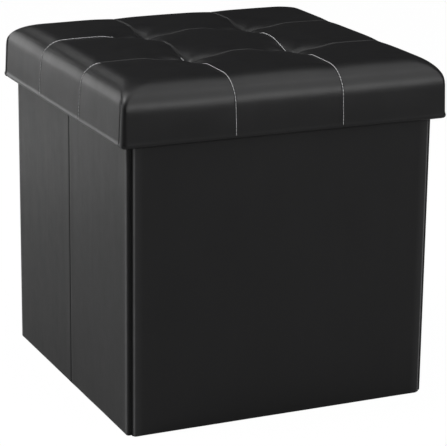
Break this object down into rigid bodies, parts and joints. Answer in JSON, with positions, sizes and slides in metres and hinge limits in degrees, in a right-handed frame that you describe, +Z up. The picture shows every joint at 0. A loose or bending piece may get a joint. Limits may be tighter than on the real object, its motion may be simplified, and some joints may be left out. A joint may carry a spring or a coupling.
{
  "type": "folding storage ottoman",
  "caption": "Cube storage ottoman in black faux leather with a tufted lift-off lid that overhangs a box whose side walls fold at the middle.",
  "frame": {"origin": "on the floor under the middle of the footprint, with the lid on and the box open", "axes": "+Z up, the plain front wall faces -Y, the side walls that fold face -X and +X"},
  "size_m": [0.38, 0.38, 0.394],
  "materials": {
    "black_leather": "satin",
    "fibreboard": "matte",
    "lining_cloth": "matte",
    "ribbon": "satin",
    "foam": "matte",
    "button_plastic": "matte",
    "tuft_thread": "matte",
    "seam_thread": "matte"
  },
  "bodies": {
    "back_wall": {"back_leather": "black_leather", "back_board": "fibreboard", "back_lining": "lining_cloth", "back_left_corner_strip": "black_leather", "back_right_corner_strip": "black_leather", "bottom_cloth": "lining_cloth"},
    "left_rear_wall": {"left_rear_leather": "black_leather", "left_rear_board": "fibreboard", "left_rear_lining": "lining_cloth"},
    "left_front_wall": {"left_front_leather": "black_leather", "left_front_board": "fibreboard", "left_front_lining": "lining_cloth"},
    "front_wall": {"front_leather": "black_leather", "front_board": "fibreboard", "front_lining": "lining_cloth", "front_left_corner_strip": "black_leather", "front_right_corner_strip": "black_leather"},
    "right_front_wall": {"right_front_leather": "black_leather", "right_front_board": "fibreboard", "right_front_lining": "lining_cloth"},
    "right_rear_wall": {"right_rear_leather": "black_leather", "right_rear_board": "fibreboard", "right_rear_lining": "lining_cloth"},
    "base": {"base_board": "fibreboard", "base_cloth": "lining_cloth", "base_pull_ribbon": "ribbon"},
    "lid": {"lid_cover": "black_leather", "lid_foam": "foam", "lid_board": "fibreboard", "lid_lining": "lining_cloth", "lid_skirt_front": "fibreboard", "lid_skirt_back": "fibreboard", "lid_skirt_left": "fibreboard", "lid_skirt_right": "fibreboard", "tuft_button_front_left": "button_plastic", "tuft_button_front_right": "button_plastic", "tuft_button_back_left": "button_plastic", "tuft_button_back_right": "button_plastic", "tuft_cord_front_left": "tuft_thread", "tuft_cord_front_right": "tuft_thread", "tuft_cord_back_left": "tuft_thread", "tuft_cord_back_right": "tuft_thread"}
  },
  "joints": [
    {"name": "box_fold", "type": "hinge", "parent": "back_wall", "child": "left_rear_wall", "pos_m": [-0.1735, 0.1691, 0.177], "axis": [0, 0, -1], "range_deg": [-90, 0], "deforming": ["back_left_corner_strip", "back_right_corner_strip", "front_left_corner_strip", "front_right_corner_strip", "bottom_cloth", "base_board", "base_cloth", "base_pull_ribbon"]},
    {"name": "left_mid_fold", "type": "hinge", "parent": "left_rear_wall", "child": "left_front_wall", "pos_m": [-0.1818, -0.00205, 0.177], "axis": [0, 0, 1], "range_deg": [-180, 0]},
    {"name": "left_front_corner_fold", "type": "hinge", "parent": "left_front_wall", "child": "front_wall", "pos_m": [-0.1735, -0.1732, 0.177], "axis": [0, 0, -1], "range_deg": [-90, 0]},
    {"name": "right_front_corner_fold", "type": "hinge", "parent": "front_wall", "child": "right_front_wall", "pos_m": [0.1735, -0.1732, 0.177], "axis": [0, 0, -1], "range_deg": [-90, 0]},
    {"name": "right_rear_corner_fold", "type": "hinge", "parent": "back_wall", "child": "right_rear_wall", "pos_m": [0.1735, 0.1691, 0.177], "axis": [0, 0, 1], "range_deg": [-90, 0]},
    {"name": "base_board_fold", "type": "hinge", "parent": "back_wall", "child": "base", "pos_m": [0, 0.1709, 0.0026], "axis": [1, 0, 0], "range_deg": [-90, 0]},
    {"name": "lid_lift", "type": "slide", "parent": "back_wall", "child": "lid", "axis": [0, 0, 1], "range_m": [0, 0.2]}
  ],
  "couplings": [
    {"joint": "left_mid_fold", "follows": "box_fold", "ratio": 2},
    {"joint": "left_front_corner_fold", "follows": "box_fold", "ratio": 1},
    {"joint": "right_front_corner_fold", "follows": "box_fold", "ratio": 1},
    {"joint": "right_rear_corner_fold", "follows": "box_fold", "ratio": 1},
    {"joint": "base_board_fold", "follows": "box_fold", "ratio": 1}
  ]
}
